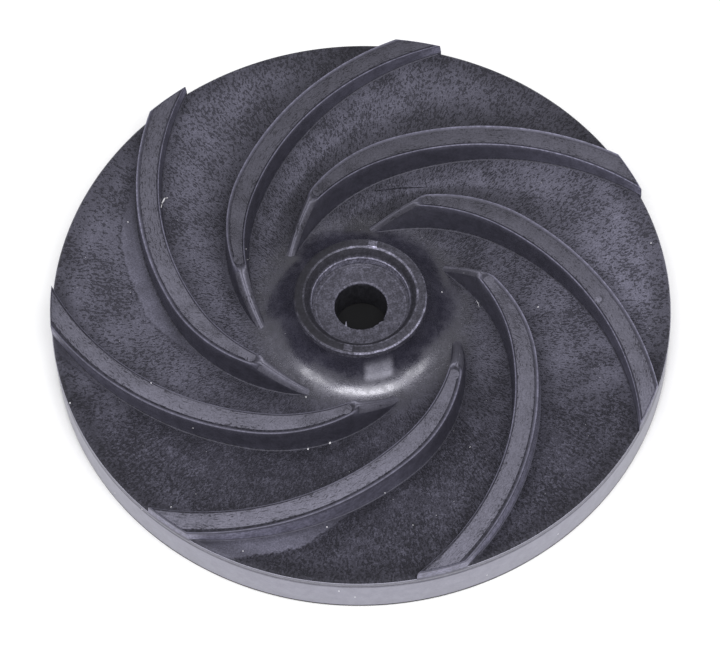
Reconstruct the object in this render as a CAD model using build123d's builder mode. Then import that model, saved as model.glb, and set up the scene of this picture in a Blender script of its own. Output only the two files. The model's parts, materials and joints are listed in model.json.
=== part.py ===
from build123d import *
from math import acos, atan, atan2, cos, degrees, radians, sin, tan
import os

# A semi-open pump impeller moulded in one piece of rubber: a dished back plate, seven swept vanes
# and a flared hub. Millimetres, +Z up, the origin on the axis at the underside.

# Back plate: its top is a shallow cone, thickest at the rim. The hub thickness is the one that the
# cone would have at the nose, below the flare
plateRadius = 70.0
plateRimThickness = 11.7
plateHubThickness = 3.96
plateTopChamfer = 0.6
plateBottomChamfer = 0.5

# Hub: a flat nose ring round a stepped recess, with a plain bore through its floor
noseRadius = 15.0
noseRise = 2.6
noseChamfer = 0.35
noseBandHeight = 0.55
recessMouthRadius = 12.8
recessWallRadius = 11.1
recessTaperDepth = 2.2
recessFloorDepth = 4.7
boreRadius = 6.0
boreTopChamfer = 0.3
boreBottomChamfer = 0.5

# Two low square pads on the nose ring, opposite each other
padCount = 2
padAngle = 76.5
padWidth = 2.1
padHeight = 0.2
padMargin = 0.1

# Vanes: the hollow side faces the hub and the back faces the rim. Each vane leaves the rim along
# one arc and takes a tighter arc from its turn to its nose. The turn is the hollow side's, and the
# back turns a few degrees sooner
vaneCount = 7
vaneRise = 2.95
vaneThickness = 5.3
vaneDraft = 3.0
vaneEdgeChamfer = 0.4
vaneRidgeChamfer = 0.5
vaneRimAngle = 72.7
vaneOutletAngle = 30.0
vaneTurnDistance = 36.4
vaneTurnAngle = 130.5
vaneBackTurnLead = 3.0

# The inner end of a vane: a ridge slopes from the tip down to the nose, at the level of the dish
vaneTipDistance = 28.1
vaneTipAngle = 164.3
vaneNoseDistance = 22.7
vaneNoseAngle = 186.0
vaneNoseWidth = 0.8

# The plate and the vanes are made this much too wide, and then trimmed to the rim
trimAllowance = 2.0


def polarPoint(distance, angle):
    return Vector(distance * cos(radians(angle)), distance * sin(radians(angle)))


# Heights above the underside
rimTopZ = plateRimThickness
vaneTopZ = rimTopZ + vaneRise
noseTopZ = rimTopZ + noseRise
recessFloorZ = noseTopZ - recessFloorDepth

# The dish
dishRadius = plateRadius - plateTopChamfer
dishSlope = (plateRimThickness - plateHubThickness) / (dishRadius - noseRadius)
dishAngle = degrees(atan(dishSlope))


def dishZ(radius):
    return rimTopZ - (dishRadius - radius) * dishSlope


# The flare leaves the nose ring upright and runs out tangent to the dish
flareTopZ = noseTopZ - noseBandHeight
flareRadius = (flareTopZ - dishZ(noseRadius)) / (dishSlope + 1 / cos(radians(dishAngle)))
flareCentre = Vector(noseRadius + flareRadius, flareTopZ)
flareFoot = flareCentre + polarPoint(flareRadius, dishAngle - 90)
flareMiddle = flareCentre + polarPoint(flareRadius, (dishAngle - 90 - 180) / 2)

vaneReach = plateRadius + trimAllowance
blankRadius = vaneReach + trimAllowance

# The plate and hub: one turned profile, left too wide and square at the rim
with BuildPart() as widePlate:
    with BuildSketch(Plane.XZ):
        with BuildLine():
            Polyline(
                (flareFoot.X, flareFoot.Y),
                (blankRadius, dishZ(blankRadius)),
                (blankRadius, 0),
                (boreRadius + boreBottomChamfer, 0),
                (boreRadius, boreBottomChamfer),
                (boreRadius, recessFloorZ - boreTopChamfer),
                (boreRadius + boreTopChamfer, recessFloorZ),
                (recessWallRadius, recessFloorZ),
                (recessWallRadius, noseTopZ - recessTaperDepth),
                (recessMouthRadius, noseTopZ),
                (noseRadius - noseChamfer, noseTopZ),
                (noseRadius, noseTopZ - noseChamfer),
                (noseRadius, flareTopZ),
            )
            ThreePointArc((noseRadius, flareTopZ), (flareMiddle.X, flareMiddle.Y),
                          (flareFoot.X, flareFoot.Y))
        make_face()
    revolve(axis=Axis.Z)

# The rim arc of the hollow side: through the turn, and at the outlet angle to the rim at its end
turnPoint = polarPoint(vaneTurnDistance, vaneTurnAngle)
rimPoint = polarPoint(plateRadius, vaneRimAngle)
towardCentre = polarPoint(1, vaneRimAngle + vaneOutletAngle + 180)
arcChord = turnPoint - rimPoint
arcRadius = arcChord.length**2 / (2 * arcChord.dot(towardCentre))
arcCentre = rimPoint + towardCentre * arcRadius
arcCentreAngle = degrees(atan2(arcCentre.Y, arcCentre.X))
hollowTurn = degrees(atan2(turnPoint.Y - arcCentre.Y, turnPoint.X - arcCentre.X))
backTurn = hollowTurn - vaneBackTurnLead

tip = polarPoint(vaneTipDistance, vaneTipAngle)
noseCentre = polarPoint(vaneNoseDistance, vaneNoseAngle)
noseRounding = vaneNoseWidth / 2
ridgeLine = noseCentre - tip


# The angle about the arc's own centre at which a side of the vane gets out past the rim
def reachAngle(sideRadius):
    squares = vaneReach**2 - arcCentre.length**2 - sideRadius**2
    return arcCentreAngle + degrees(acos(squares / (2 * arcCentre.length * sideRadius)))


# The centre of a side's inner arc, which carries on smoothly from the rim arc at the turn and
# touches the rounding of the nose. The rounding lies outside the hollow arc and inside the back arc
def innerCentre(sideRadius, turn, rounding):
    inward = polarPoint(-1, turn)
    start = arcCentre + polarPoint(sideRadius, turn)
    chord = start - noseCentre
    radius = (chord.length**2 - rounding**2) / (2 * (rounding - chord.dot(inward)))
    return start + inward * radius


hollowReachAngle = reachAngle(arcRadius)
backReachAngle = reachAngle(arcRadius + vaneThickness)
hollowInnerCentre = innerCentre(arcRadius, hollowTurn, noseRounding)
backInnerCentre = innerCentre(arcRadius + vaneThickness, backTurn, -noseRounding)


# The outline of a vane at a height. The walls lean out by the draft on the way down
def vaneOutline(z):
    growth = (vaneTopZ - z) * tan(radians(vaneDraft))
    hollowRadius = arcRadius - growth
    backRadius = arcRadius + vaneThickness + growth
    hollowEnd = (hollowInnerCentre - noseCentre).normalized() * (noseRounding + growth)
    backEnd = (noseCentre - backInnerCentre).normalized() * (noseRounding + growth)
    noseEnd = ridgeLine.normalized() * (noseRounding + growth)
    with BuildSketch(Plane.XY.offset(z)) as outline:
        with BuildLine():
            CenterArc(arcCentre, hollowRadius, hollowReachAngle, hollowTurn - hollowReachAngle)
            TangentArc(arcCentre + polarPoint(hollowRadius, hollowTurn), noseCentre + hollowEnd,
                       tangent=polarPoint(1, hollowTurn + 90))
            ThreePointArc(noseCentre + hollowEnd, noseCentre + noseEnd, noseCentre + backEnd)
            TangentArc(arcCentre + polarPoint(backRadius, backTurn), noseCentre + backEnd,
                       tangent=polarPoint(1, backTurn + 90))
            CenterArc(arcCentre, backRadius, backReachAngle, backTurn - backReachAngle)
            Line(arcCentre + polarPoint(backRadius, backReachAngle),
                 arcCentre + polarPoint(hollowRadius, hollowReachAngle))
        make_face()
    return outline.sketch


# The plane of the ridge: through the tip, and down to the level of the dish at the nose
ridgeSlope = (vaneTopZ - dishZ(vaneNoseDistance)) / ridgeLine.length
ridgeDown = ridgeLine.normalized() * ridgeSlope
ridgePlane = Plane(origin=(tip.X, tip.Y, vaneTopZ), z_dir=(ridgeDown.X, ridgeDown.Y, 1))

# One vane. It starts halfway down the thinnest part of the plate
vaneFootZ = (flareTopZ - flareRadius) / 2

with BuildPart() as vane:
    add(vaneOutline(vaneTopZ))
    add(vaneOutline(vaneFootZ))
    loft(ruled=True)
    split(bisect_by=ridgePlane, keep=Keep.BOTTOM)
    ridge = vane.faces().filter_by(ridgePlane)[0]
    chamfer(ridge.edges().sort_by(SortBy.LENGTH)[-2:], vaneRidgeChamfer)
    chamfer(vane.faces().sort_by(Axis.Z)[-1].edges(), vaneEdgeChamfer)

# What the rim chamfer takes off: a ring with a 45-degree face, which stops at the vanes
with BuildPart() as rimTool:
    with BuildSketch(Plane.XZ):
        Polygon(
            (dishRadius - vaneRise, vaneTopZ),
            (blankRadius, rimTopZ - (blankRadius - dishRadius)),
            (blankRadius, vaneTopZ),
            align=None,
        )
    revolve(axis=Axis.Z)
    with PolarLocations(0, vaneCount):
        add(vane.part, mode=Mode.SUBTRACT)

# The full rim, with its lower edge broken
with BuildPart() as rimCore:
    with BuildSketch():
        Circle(plateRadius)
    extrude(amount=vaneTopZ)
    chamfer(rimCore.edges().sort_by(Axis.Z)[0], plateBottomChamfer)

padInnerRadius = recessMouthRadius + padMargin
padOuterRadius = noseRadius - noseChamfer - padMargin

with BuildPart() as impeller:
    add(widePlate.part)
    with PolarLocations(0, vaneCount):
        add(vane.part)
    add(rimCore.part, mode=Mode.INTERSECT)
    add(rimTool.part, mode=Mode.SUBTRACT)
    with BuildSketch(Plane.XY.offset(noseTopZ - noseChamfer)):
        with PolarLocations((padInnerRadius + padOuterRadius) / 2, padCount, start_angle=padAngle):
            Rectangle(padOuterRadius - padInnerRadius, padWidth)
    extrude(amount=noseChamfer + padHeight)

os.makedirs("parts", exist_ok=True)
impeller.part.label = "impeller"
export_step(impeller.part, "parts/impeller.step")
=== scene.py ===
import json
import random
from functools import partial
from math import acos, atan2, cos, degrees, pi, radians, sin, sqrt, tan

import bmesh
import bpy
from mathutils import Matrix, Vector, noise
from mathutils.bvhtree import BVHTree
from mathutils.kdtree import KDTree


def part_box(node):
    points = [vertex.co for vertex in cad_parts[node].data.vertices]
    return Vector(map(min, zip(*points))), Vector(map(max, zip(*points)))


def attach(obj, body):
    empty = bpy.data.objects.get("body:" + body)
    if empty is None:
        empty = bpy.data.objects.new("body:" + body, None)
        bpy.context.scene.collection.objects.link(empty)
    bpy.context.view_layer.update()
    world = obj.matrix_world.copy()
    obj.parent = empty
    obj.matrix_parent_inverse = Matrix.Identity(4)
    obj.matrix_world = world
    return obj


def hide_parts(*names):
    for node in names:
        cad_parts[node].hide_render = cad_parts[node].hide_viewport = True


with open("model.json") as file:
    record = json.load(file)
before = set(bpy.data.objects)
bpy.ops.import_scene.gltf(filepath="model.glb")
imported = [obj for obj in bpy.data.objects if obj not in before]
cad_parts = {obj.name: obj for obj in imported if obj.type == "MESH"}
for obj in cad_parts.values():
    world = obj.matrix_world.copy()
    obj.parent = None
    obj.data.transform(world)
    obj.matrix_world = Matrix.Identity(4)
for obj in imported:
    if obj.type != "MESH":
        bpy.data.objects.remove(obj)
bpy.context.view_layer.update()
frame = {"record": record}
print("stage: frame loaded")

# Modelled in millimetres and brought to metres at the end of each mesh
mm = 0.001
low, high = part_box("impeller")
plateRadius = (high[0] - low[0]) / 2 / mm
vaneTopZ = high[2] / mm


def polar(radius, angle, z=0.0):
    return Vector((radius * cos(radians(angle)), radius * sin(radians(angle)), z))


def angleOf(vector):
    return degrees(atan2(vector.y, vector.x))


def blend(a, b, t):
    return a + (b - a) * t


def smoothStep(start, end, value):
    t = min(1.0, max(0.0, (value - start) / (end - start)))
    return t * t * (3 - 2 * t)


# The plate and hub are one turned profile, its corners rounded before it is spun
plate = {
    # millimetres
    "vaneRise": 2.95,
    "hubThickness": 3.96,
    "topChamfer": 0.6,
    "bottomChamfer": 0.5,
    "partingDrop": 1.85,
    "partingHeight": 0.7,
    "partingDepth": 0.22,
    "noseRadius": 15.0,
    "noseRise": 2.6,
    "noseChamfer": 0.35,
    "noseBand": 0.55,
    "mouthRadius": 12.8,
    "wallRadius": 11.1,
    "taperDepth": 2.2,
    "floorDepth": 4.7,
    "boreRadius": frame["record"]["mounts"][0]["dims"]["r_mm"],
    "boreTopChamfer": 0.3,
    "boreBottomChamfer": 0.5,
    # a painted highlight on the rim's top edge, and painted shade in its groove below it
    "edgeHighlight": 2.4,
    "grooveShadow": 0.6,
    "turns": 384,
    "dishRings": 44,
}
slots = ["plate", "smooth", "crown", "rim", "hub"]
rimTopZ = vaneTopZ - plate["vaneRise"]
noseTopZ = rimTopZ + plate["noseRise"]
dishRadius = plateRadius - plate["topChamfer"]
dishSlope = (rimTopZ - plate["hubThickness"]) / (dishRadius - plate["noseRadius"])
dishTilt = degrees(atan2(dishSlope, 1))
flareTopZ = noseTopZ - plate["noseBand"]
flareRadius = (flareTopZ - plate["hubThickness"]) / (dishSlope + 1 / cos(radians(dishTilt)))
flareCentreR = plate["noseRadius"] + flareRadius
flareFootR = flareCentreR + flareRadius * sin(radians(dishTilt))


# Height of the dish or the flare at a distance from the axis
def surfaceZ(radius):
    if radius > flareFootR:
        return rimTopZ - (dishRadius - radius) * dishSlope
    reach = min(flareRadius, flareCentreR - radius)
    return flareTopZ - sqrt(flareRadius**2 - reach**2)


def makePlate(bm):
    noseR, boreR = plate["noseRadius"], plate["boreRadius"]
    floorZ = noseTopZ - plate["floorDepth"]
    partingZ = rimTopZ - plate["partingDrop"]
    halfParting = plate["partingHeight"] / 2
    # distance from the axis, height, rounding
    corners = [
        (flareFootR, surfaceZ(flareFootR), 0),
        (dishRadius, rimTopZ, 0.15),
        (plateRadius, rimTopZ - plate["topChamfer"], 0.2),
        (plateRadius, partingZ + halfParting, 0.08),
        (plateRadius - plate["partingDepth"], partingZ, 0.1),
        (plateRadius, partingZ - halfParting, 0.15),
        (plateRadius, plate["bottomChamfer"], 0.15),
        (plateRadius - plate["bottomChamfer"], 0, 0.15),
        (boreR + plate["boreBottomChamfer"], 0, 0.1),
        (boreR, plate["boreBottomChamfer"], 0.1),
        (boreR, floorZ - plate["boreTopChamfer"], 0.08),
        (boreR + plate["boreTopChamfer"], floorZ, 0.08),
        (plate["wallRadius"], floorZ, 0.3),
        (plate["wallRadius"], noseTopZ - plate["taperDepth"], 0.12),
        (plate["mouthRadius"], noseTopZ, 0.3),
        (noseR - plate["noseChamfer"], noseTopZ, 0.12),
        (noseR, noseTopZ - plate["noseChamfer"], 0.1),
        (noseR, flareTopZ, 0),
    ]
    verts = [bm.verts.new((r, 0, z)) for r, z, rounding in corners]
    for a, b in zip(verts, verts[1:]):
        bm.edges.new((a, b))
    bmesh.ops.spin(bm, geom=[verts[-1]], cent=(flareCentreR, 0, flareTopZ), axis=(0, -1, 0),
                   angle=radians(90 + dishTilt), steps=24, use_merge=False, use_duplicate=False)
    bmesh.ops.remove_doubles(bm, verts=bm.verts[:], dist=1e-4)
    dishEdge = [e for e in bm.edges if e.calc_length() > 30 and min(v.co.z for v in e.verts) > 1]
    bmesh.ops.subdivide_edges(bm, edges=dishEdge, cuts=plate["dishRings"])
    for r, z, rounding in corners:
        if rounding:
            corner = min(bm.verts, key=lambda v: (v.co - Vector((r, 0, z))).length)
            bmesh.ops.bevel(bm, geom=[corner], offset=rounding, segments=3, profile=0.5,
                            affect="VERTICES", material=-1)
    bmesh.ops.spin(bm, geom=bm.verts[:] + bm.edges[:], cent=(0, 0, 0), axis=(0, 0, 1),
                   angle=2 * pi, steps=plate["turns"], use_merge=True, use_duplicate=False)
    bmesh.ops.recalc_face_normals(bm, faces=bm.faces[:])
    for face in bm.faces:
        centre = face.calc_center_median()
        r = Vector((centre.x, centre.y)).length
        if centre.z < 0.6:
            face.material_index = slots.index("smooth")
        elif r > dishRadius + 0.45:
            face.material_index = slots.index("rim")
        elif r < noseR + 0.1:
            face.material_index = slots.index("hub")


# A vane is drawn out through rings round its outline, one after the other
vane = {
    # millimetres and degrees
    "count": 7,
    "thickness": 5.3,
    "draft": 3.0,
    "rimAngle": 72.7,
    "outletAngle": 30.0,
    "turnDistance": 36.4,
    "turnAngle": 130.5,
    "backTurnLead": 3.0,
    "tipDistance": 28.1,
    "tipAngle": 164.3,
    "noseDistance": 22.7,
    "noseAngle": 186.0,
    "noseWidth": 0.8,
    "rootRadius": 0.35,
    "endGap": 0.015,       # the outer end stands this far inside the rim's own face
    "endFoot": 9.2,        # and runs down over the groove to this height
    "crownHollow": 0.56,   # the raised crown stands this far in from each edge
    "crownBack": 1.0,
    "crownEnd": 0.3,
    "crownTipGap": 1.3,
    "crestTop": 1.2,       # the fin's crest narrows from the tip to the nose
    "crestNose": 0.4,
    "crestSlope": 0.15,
    "flankSlope": 1.2,
    "flankReach": 0.8,     # the share of the fin's height that its flanks take at most
    "ridgeSpan": (-1.2, 0.4),       # the vane turns into the fin between these, along it from the tip
    "rimSteps": 60,
    "innerSteps": 32,
    "capSteps": 10,
    "endSteps": 12,
    "nearRim": [0.0, 0.005, 0.012, 0.022],
    # rings of the top: insets from the hollow edge, the back and the end, drop, share of the fin's width
    "topRings": [(0.72, 1.12, 0.32, 0.26, 0.1), (0.5, 0.86, 0.27, 0.24, 0.18),
                 (0.3, 0.5, 0.2, 0.06, 0.28), (0.18, 0.28, 0.13, 0.05, 0.45),
                 (0.07, 0.1, 0.05, 0.12, 0.75), (0.0, 0.0, 0.0, 0.3, 1.0)],
    # the shades of these rings on the vane and on the fin: painted shade in the dip round the crown,
    # painted highlights on the lip and the fin's crest
    "topShades": [(0.5, 2.1), (0.5, 2.1), (1.15, 1.8), (2.3, 1.0), (1.9, 0.8), (1.0, 0.75)],
    "wallRings": (0.2, 0.6, 1.0),                   # shares of the way down
    "rootAngles": (25, 50, 70, 90),
    "rootSink": 0.5,
    "rootShare": 0.3,                               # of the height, at most
    "leastKeep": 0.12,                              # of the half width, within the top's rings
    "crownRings": [(0.0, 0.35), (0.0, 0.07), (0.02, 0.02), (0.09, 0.0)],    # further in, below the top
    "streakShift": 97.0,
    # shades of the walls and their feet, and the radii over which they change: painted shade towards the
    # hub and at the feet, painted light at the outer end
    "wallShades": (0.8, 1.5), "wallSpan": (44, 66), "endShade": 1.45, "endSpan": (66.8, 69.9),
    "footShades": (0.5, 0.42), "footSpan": (34, 44), "footEndShade": 0.9, "footEndSpan": (69.5, 69.9),
    "underShade": 0.9, "crownFootShade": 0.7,
    # painted light and shade by vane: crown near the hub and at the rim, fin, then walls by vane and side:
    # radii, change.
    # The crown's painted change runs between two radii, and the walls' fades out before the vane's end
    "crownSpan": (28, 66), "lightShadeEndSpan": (68.5, 66.0),
    "crownDepth": 0.4, "finShade": 1.2,             # a crown lies within this of the top; a fin is paler
    "crownLightShade": [(-0.25, 0.35), (-0.12, 0.25), (-0.22, -0.2), (-0.05, -0.27), (0.25, -0.2), (0.1, 0.32),
                  (-0.15, 0.75)],
    "finLightShade": (0.0, -0.3, -0.5, -0.55, 0.0, 0.0, 0.0),
    "wallLightShade": {(3, "back"): (38, 46, 1.0), (4, "back"): (38, 46, 1.5)},
}
# the rim arc passes through the turn and meets the rim at the outlet angle
turnPoint = polar(vane["turnDistance"], vane["turnAngle"])
rimPoint = polar(plateRadius, vane["rimAngle"])
towardCentre = polar(1, vane["rimAngle"] + vane["outletAngle"] + 180)
arcChord = turnPoint - rimPoint
arcRadius = arcChord.length_squared / (2 * arcChord.dot(towardCentre))
arcCentre = rimPoint + towardCentre * arcRadius
hollowTurn = angleOf(turnPoint - arcCentre)
backTurn = hollowTurn - vane["backTurnLead"]
tip = polar(vane["tipDistance"], vane["tipAngle"])
noseCentre = polar(vane["noseDistance"], vane["noseAngle"])
noseRounding = vane["noseWidth"] / 2
ridgeAlong = (noseCentre - tip).normalized()
ridgeSlope = (vaneTopZ - surfaceZ(vane["noseDistance"])) / (noseCentre - tip).length


# The inner arc carries on from the rim arc at the turn and touches the rounding of the nose
def innerCentre(sideRadius, turn, rounding):
    inward = polar(-1, turn)
    start = arcCentre + polar(sideRadius, turn)
    chord = start - noseCentre
    radius = (chord.length_squared - rounding**2) / (2 * (rounding - chord.dot(inward)))
    return start + inward * radius, radius


backRadius = arcRadius + vane["thickness"]
hollowInner, hollowInnerRadius = innerCentre(arcRadius, hollowTurn, noseRounding)
backInner, backInnerRadius = innerCentre(backRadius, backTurn, -noseRounding)
hollowNose = angleOf(noseCentre - hollowInner)
backNose = angleOf(noseCentre - backInner)


# The angle about the arc's centre at which a side reaches a distance from the axis
def reachAngle(sideRadius, endRadius):
    squares = endRadius**2 - arcCentre.length_squared - sideRadius**2
    return angleOf(arcCentre) + degrees(acos(squares / (2 * arcCentre.length * sideRadius)))


def turned(centre, radius, start, end, t):
    return centre + polar(radius, start + ((end - start + 180) % 360 - 180) * t)


# A point of the outline: the hollow side inwards, round the nose, the back outwards, along the rim
def outlinePoint(part, t, growth, endRadius):
    hollowR, backR = arcRadius - growth, backRadius + growth
    if part == "hollowRim":
        return turned(arcCentre, hollowR, reachAngle(hollowR, endRadius), hollowTurn, t)
    if part == "hollowInner":
        return turned(hollowInner, hollowInnerRadius - growth, hollowTurn, hollowNose, t)
    if part == "cap":
        sweep = (backNose - hollowNose + 180) % 360 - 360
        return noseCentre + polar(noseRounding + growth, hollowNose + 180 + sweep * t)
    if part == "backInner":
        return turned(backInner, backInnerRadius + growth, backNose, backTurn, t)
    if part == "backRim":
        return turned(arcCentre, backR, backTurn, reachAngle(backR, endRadius), t)
    hollowCorner = arcCentre + polar(hollowR, reachAngle(hollowR, endRadius))
    backCorner = arcCentre + polar(backR, reachAngle(backR, endRadius))
    return turned(Vector(), endRadius, angleOf(backCorner), angleOf(hollowCorner), t)


def evenly(steps):
    return [step / steps for step in range(steps)]


# The hollow side runs inwards and the back outwards, so that each station has its partner
rimShares = vane["nearRim"] + [t for t in evenly(vane["rimSteps"]) if t > vane["nearRim"][-1] + 0.005]
stations = [("hollowRim", t) for t in rimShares]
stations += [("hollowInner", t) for t in evenly(vane["innerSteps"])]
stations += [("cap", t) for t in evenly(vane["capSteps"])]
stations += [("backInner", t) for t in evenly(vane["innerSteps"])]
stations += [("backRim", 1 - t) for t in reversed(rimShares[1:] + [1.0])]
stations += [("rimEnd", t) for t in evenly(vane["endSteps"])]
capMiddle = len(rimShares) + vane["innerSteps"] + vane["capSteps"] // 2
vaneEndRadius = plateRadius - vane["endGap"]


def partner(i):
    return (2 * capMiddle - i) % len(stations)


# How much of a station belongs to the back, from 0 on the hollow side to 1
def backShare(part, t):
    return {"hollowRim": 0, "hollowInner": 0, "cap": t, "backInner": 1, "backRim": 1,
            "rimEnd": 1 - t}[part]


def onEnd(part, t):
    return part == "rimEnd" or (part == "hollowRim" and t == 0)


def crestZ(point):
    return min(vaneTopZ, vaneTopZ - ridgeSlope * (point - tip).dot(ridgeAlong))


def draftGrowth(z):
    return (vaneTopZ - z) * tan(radians(vane["draft"]))


def topEdge(part, t, endRadius):
    point = outlinePoint(part, t, 0, endRadius)
    return outlinePoint(part, t, draftGrowth(crestZ(point)), endRadius)


def ridgeShare(point):
    return smoothStep(*vane["ridgeSpan"], (point - tip).dot(ridgeAlong))


# Room between the crest and the plate, which closes to nothing at the nose
def roomAt(point):
    return max(0.0, crestZ(point) - surfaceZ(point.length))


def ringEdge(endInset):
    return [topEdge(part, t, vaneEndRadius - endInset) for part, t in stations]


outerEdge = ringEdge(0.0)
cornerHalf = (outerEdge[0] - outerEdge[partner(0)]).length / 2
halves = [cornerHalf if part == "rimEnd" else (outerEdge[i] - outerEdge[partner(i)]).length / 2
          for i, (part, t) in enumerate(stations)]


# The fin below the tip has a narrow crest, and flanks that slope to the walls
def finFall(i, share):
    middle = (outerEdge[i] + outerEdge[partner(i)]) / 2
    progress = min(1.0, max(0.0, (middle - tip).dot(ridgeAlong) / (noseCentre - tip).length))
    crest = blend(vane["crestTop"], vane["crestNose"], progress) / 2
    x = share * halves[i]
    fall = vane["crestSlope"] * min(x, crest) + vane["flankSlope"] * max(0.0, x - crest)
    return min(fall, vane["flankReach"] * roomAt(middle))


# A ring of the vane's top is inset from each edge and dropped. On the fin it lies at a share of the
# half width
def topRing(hollowInset, backInset, endInset, drop, finShare):
    edge = ringEdge(endInset)
    ring = []
    for i, (part, t) in enumerate(stations):
        middle = (edge[i] + edge[partner(i)]) / 2
        inset = blend(hollowInset, backInset, backShare(part, t))
        fin = ridgeShare(middle)
        keep = blend(max(vane["leastKeep"], 1 - inset / max(halves[i], 0.01)), finShare, fin)
        point = middle + (edge[i] - middle) * keep
        point.z = crestZ(middle) - blend(drop, finFall(i, finShare), fin) * min(1.0, roomAt(middle))
        ring.append(point)
    return ring


# A ring down the wall, where down runs 0 to 1, and then round the root
def footRing(down, rootAngle=0.0, under=0.0):
    start = topRing(*vane["topRings"][-1])
    ring = []
    for i, (part, t) in enumerate(stations):
        room = max(0.0, start[i].z - surfaceZ(start[i].length))
        root = min(vane["rootRadius"], vane["rootShare"] * room)
        flat = Vector((start[i].x, start[i].y))
        z = blend(start[i].z, min(start[i].z, surfaceZ(flat.length) + root), down)
        growth = draftGrowth(z)
        if onEnd(part, t):
            point = outlinePoint(part, t, growth, vaneEndRadius - 0.3 * under)
            point.z = blend(z, vane["endFoot"], rootAngle / 90) - 0.3 * under
        elif rootAngle == 0:
            point = outlinePoint(part, t, growth, vaneEndRadius)
            point.z = z
        else:
            out = root * (1 - cos(radians(rootAngle)))
            endRadius = blend(vaneEndRadius, dishRadius - 0.02, rootAngle / 90)
            point = outlinePoint(part, t, growth + out + 0.5 * under, endRadius)
            point.z = surfaceZ(point.length) + root * (1 - sin(radians(rootAngle))) - under + 0.004
        ring.append(point)
    return ring


def crownRing(hollowInset, backInset, endInset, z):
    endRadius = vaneEndRadius - endInset
    stop = 1.0
    while (outlinePoint("hollowInner", stop, 0, endRadius) - tip).dot(ridgeAlong) > -vane["crownTipGap"]:
        stop -= 0.004
    hollowEnd = outlinePoint("hollowInner", stop, -hollowInset, endRadius)
    backEnd = outlinePoint("backInner", 1 - stop, -backInset, endRadius)
    middle = (hollowEnd + backEnd) / 2
    ring = []
    for part, t in stations:
        inset = blend(hollowInset, backInset, backShare(part, t))
        if part == "hollowInner":
            point = outlinePoint(part, t * stop, -inset, endRadius)
        elif part == "backInner":
            point = outlinePoint(part, 1 - (1 - t) * stop, -inset, endRadius)
        elif part == "cap":
            point = middle + Matrix.Rotation(radians(-180 * t), 3, "Z") @ (hollowEnd - middle)
        elif part == "rimEnd":
            hollowR, backR = arcRadius + hollowInset, backRadius - backInset
            hollowCorner = arcCentre + polar(hollowR, reachAngle(hollowR, endRadius))
            backCorner = arcCentre + polar(backR, reachAngle(backR, endRadius))
            point = turned(Vector(), endRadius, angleOf(backCorner), angleOf(hollowCorner), t)
        else:
            point = outlinePoint(part, t, -inset, endRadius)
        ring.append(Vector((point.x, point.y, z)))
    return ring


def midRing(ring):
    return [(ring[i] + ring[partner(i)]) / 2 for i in range(len(ring))]


# Distance along the vane's middle from the nose, which the ground streaks follow
middles = midRing([outlinePoint(part, t, 0, vaneEndRadius) for part, t in stations])
alongs = [0.0] * len(stations)
for i in range(capMiddle - 1, -1, -1):
    alongs[i] = alongs[i + 1] + (middles[i] - middles[i + 1]).length
for i in range(capMiddle + 1, len(stations)):
    alongs[i] = alongs[partner(i)] if stations[i][0] != "rimEnd" else alongs[0]


# A new circle's vertices in their order round it
def circleVerts(bm, count, radius, **settings):
    made = bmesh.ops.create_circle(bm, segments=count, radius=radius, **settings)["verts"]
    walk = made[:1]
    while len(walk) < count:
        onward = (e.other_vert(walk[-1]) for e in walk[-1].link_edges)
        walk.append(next(v for v in onward if v not in walk[-2:]))
    return walk


# A thin round thread through the places given
def thread(bm, path, radius, lift):
    path = [p + Vector((0, 0, lift)) for p in path]
    verts = circleVerts(bm, 6, radius, cap_ends=True)
    start = verts[:]
    for i, place in enumerate(path):
        ahead = (path[min(i + 1, len(path) - 1)] - path[max(i - 1, 0)]).normalized()
        turn = ahead.to_track_quat("Z", "Y").to_matrix()
        if i:
            edges = [bm.edges.get((verts[k], verts[(k + 1) % 6])) for k in range(6)]
            made = bmesh.ops.extrude_edge_only(bm, edges=edges)["geom"]
            new = {g for g in made if isinstance(g, bmesh.types.BMVert)}
            verts = [next(e.other_vert(v) for e in v.link_edges if e.other_vert(v) in new) for v in verts]
        size = radius * (0.5 if i in (0, len(path) - 1) else 1)
        for k, v in enumerate(verts):
            v.co = place + turn @ (polar(size, 60 * k))
    bmesh.ops.contextual_create(bm, geom=verts)
    bmesh.ops.recalc_face_normals(bm, faces=list({f for v in start + verts for f in v.link_faces}))


# Draws one closed skin through rings: each ring is extruded from the last and moved to its place.
# A ring comes with the shade of its vertices, and a surface for the faces that lead to it
def skin(bm, rings):
    along, across, shade = (bm.verts.layers.float[name] for name in ("along", "across", "shade"))
    count = len(stations)

    def place(verts, ring, tone):
        for i, (v, point) in enumerate(zip(verts, ring)):
            v.co = point
            flat = Vector((point.x, point.y, 0))
            side = -1 if backShare(*stations[i]) < 0.5 else 1
            v[along] = alongs[i]
            v[across] = side * (flat - middles[i]).length
            v[shade] = tone(i, point) if callable(tone) else tone

    verts = circleVerts(bm, count, 1.0)
    every = set(verts)
    place(verts, rings[0][0], rings[0][1])
    for ring, tone, surface in rings[1:]:
        edges = [bm.edges.get((verts[i], verts[(i + 1) % count])) for i in range(count)]
        made = bmesh.ops.extrude_edge_only(bm, edges=edges)["geom"]
        new = {g for g in made if isinstance(g, bmesh.types.BMVert)}
        every |= new
        verts = [next(e.other_vert(v) for e in v.link_edges if e.other_vert(v) in new) for v in verts]
        place(verts, ring, tone)
        for v in verts:
            for face in v.link_faces:
                middle = face.calc_center_median()
                isRidge = surface == "top" and ridgeShare(middle) > 0.5 and roomAt(middle) > 0.05
                name = "crown" if isRidge else "smooth" if surface == "top" else surface
                face.material_index = slots.index(name)
    return every


def finTone(onVane, onFin):
    return lambda i, point: blend(onVane, onFin, ridgeShare(point))


# Painted shade darkens the walls towards the hub, and painted light makes them pale at the rim
def wallTone(i, point):
    radius = Vector((point.x, point.y)).length
    endLight = vane["endShade"] * smoothStep(*vane["endSpan"], radius)
    return blend(*vane["wallShades"], smoothStep(*vane["wallSpan"], radius)) + endLight
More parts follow.
